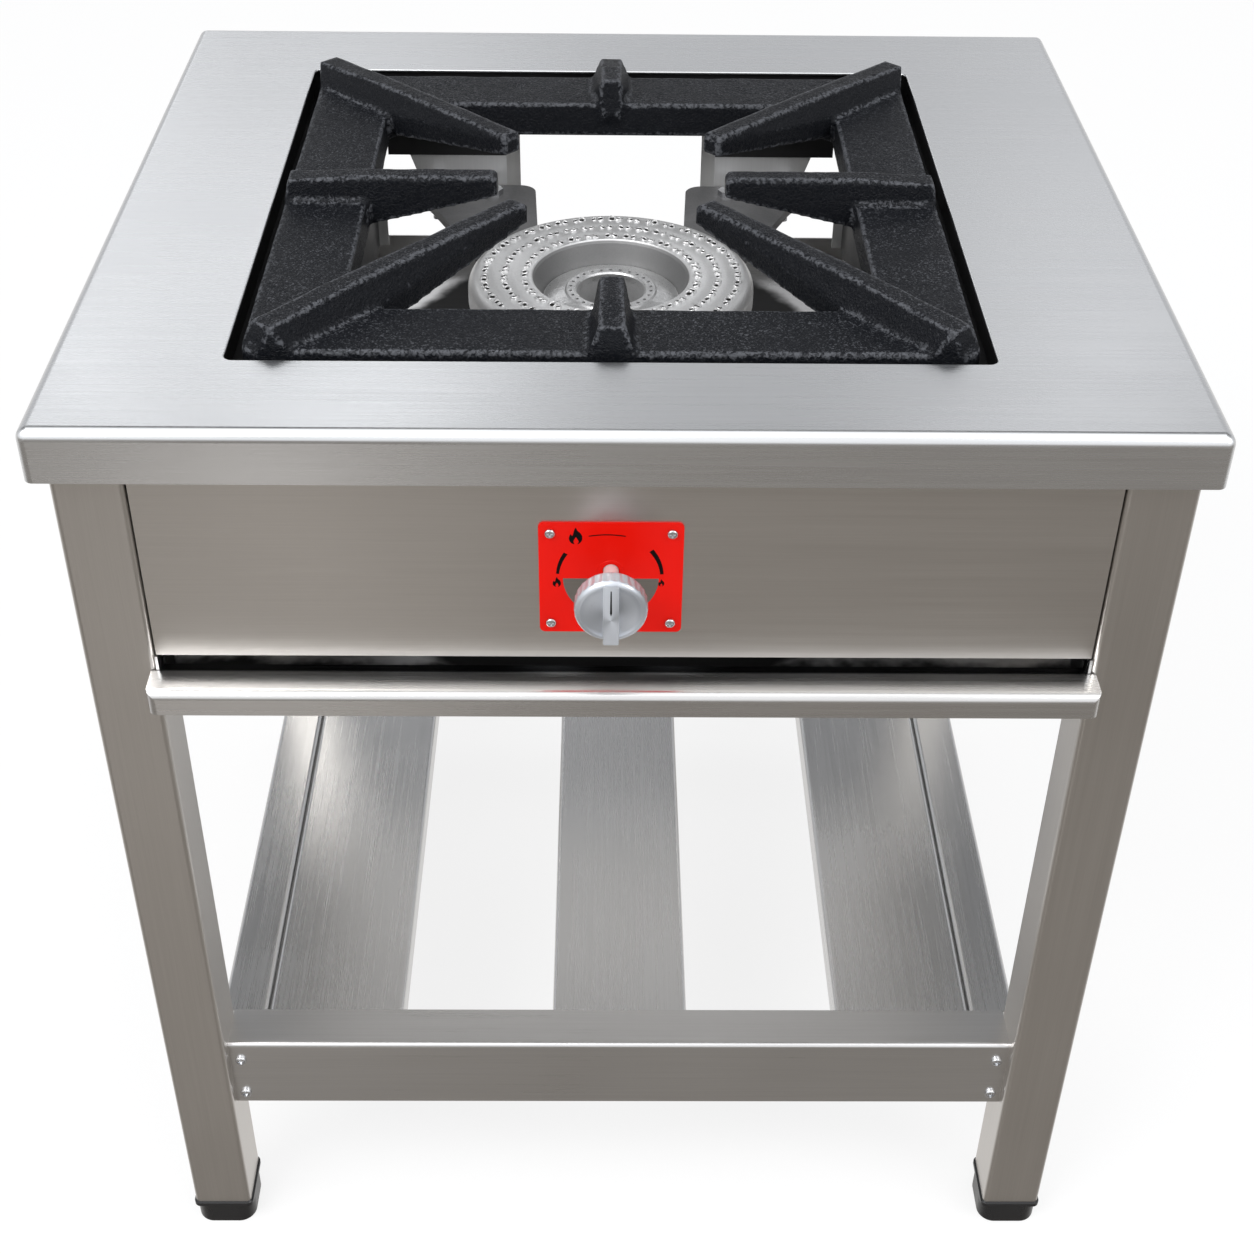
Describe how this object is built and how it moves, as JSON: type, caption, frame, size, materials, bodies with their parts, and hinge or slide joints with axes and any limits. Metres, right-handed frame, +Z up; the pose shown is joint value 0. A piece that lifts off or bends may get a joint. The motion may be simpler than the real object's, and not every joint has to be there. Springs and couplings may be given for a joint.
{
  "type": "stock pot range",
  "caption": "Free-standing square stainless range with one ring burner, a lift-off iron grate, a control knob on a plate, a slide-out drip tray and a slatted undershelf.",
  "frame": {"origin": "on the floor, under the middle of the footprint from the knob's grip to the back of the top plate", "axes": "+Z up, +Y towards the back, +X to the right seen from the front; the knob is in front, on -Y"},
  "size_m": [0.6, 0.582, 0.66],
  "materials": {
    "top_steel": "brushed stainless, grain across",
    "leg_steel": "brushed stainless tube",
    "black_plastic": "semi-gloss black",
    "panel_steel": "brushed stainless sheet",
    "shelf_steel": "brushed stainless sheet",
    "tray_steel": "brushed stainless sheet",
    "grate_iron": "black cast iron",
    "black_enamel": "black heat-proof paint",
    "hanger_steel": "bare stainless sheet",
    "carrier_iron": "grey cast iron",
    "burner_iron": "silver heat-proof paint on cast iron",
    "zinc_steel": "zinc plated",
    "brass": "machined brass",
    "spindle_steel": "turned steel",
    "knob_aluminium": "satin aluminium",
    "red_enamel": "gloss red",
    "pipe_steel": "drawn pipe"
  },
  "bodies": {
    "range": {"top_plate": "top_steel", "leg_front_left": "leg_steel", "leg_front_right": "leg_steel", "leg_rear_left": "leg_steel", "leg_rear_right": "leg_steel", "foot_front_left": "black_plastic", "foot_front_right": "black_plastic", "foot_rear_left": "black_plastic", "foot_rear_right": "black_plastic", "fascia": "panel_steel", "side_panel_left": "panel_steel", "side_panel_right": "panel_steel", "frame_rail_front": "panel_steel", "frame_rail_rear": "panel_steel", "frame_rail_left": "panel_steel", "frame_rail_right": "panel_steel", "inlet_bracket": "panel_steel", "shelf_rail_front": "shelf_steel", "shelf_rail_rear": "shelf_steel", "shelf_rail_left": "shelf_steel", "shelf_rail_right": "shelf_steel", "shelf_slat_left": "shelf_steel", "shelf_slat_centre": "shelf_steel", "shelf_slat_right": "shelf_steel", "shelf_cleats": "shelf_steel", "tray_runner_left": "tray_steel", "tray_runner_right": "tray_steel", "grate_support": "black_enamel", "side_guard_left": "black_enamel", "side_guard_right": "black_enamel", "hanger_rivets": "black_enamel", "hanger_front_left": "hanger_steel", "hanger_front_right": "hanger_steel", "hanger_rear_left": "hanger_steel", "hanger_rear_right": "hanger_steel", "burner_carrier": "carrier_iron", "burner_body": "burner_iron", "burner_ring": "burner_iron", "burner_inner_ring": "burner_iron", "carrier_bolts": "zinc_steel", "carrier_nuts": "zinc_steel", "control_plate_screws": "zinc_steel", "shelf_screws": "zinc_steel", "valve_screws": "zinc_steel", "valve_bracket": "zinc_steel", "injector": "brass", "valve_body": "brass", "valve_cap": "brass", "pipe_nuts": "brass", "inlet_fitting": "brass", "control_plate": "red_enamel", "supply_pipe": "pipe_steel"},
    "grate": {"grate": "grate_iron"},
    "tray": {"drip_tray": "tray_steel", "tray_handle": "tray_steel"},
    "valve_plug": {"valve_plug": "brass"},
    "knob": {"knob": "knob_aluminium", "valve_spindle": "spindle_steel"},
    "air_shutter": {"air_shutter": "zinc_steel"}
  },
  "joints": [
    {"name": "tray_slide", "type": "slide", "parent": "range", "child": "tray", "axis": [0, -1, 0], "range_m": [0, 0.42]},
    {"name": "grate_lift", "type": "slide", "parent": "range", "child": "grate", "axis": [0, 0, 1], "range_m": [0, 0.15]},
    {"name": "valve_turn", "type": "hinge", "parent": "range", "child": "valve_plug", "pos_m": [-0.008, -0.2, 0.557], "axis": [0, -1, 0], "range_deg": [0, 105]},
    {"name": "knob_push", "type": "slide", "parent": "valve_plug", "child": "knob", "axis": [0, 1, 0], "range_m": [0, 0.003], "stiffness_N_per_m": 1200, "springref_m": -0.003},
    {"name": "air_shutter_turn", "type": "hinge", "parent": "range", "child": "air_shutter", "pos_m": [-0.008, -0.176, 0.557], "axis": [0, -1, 0], "range_deg": [0, 60]}
  ]
}
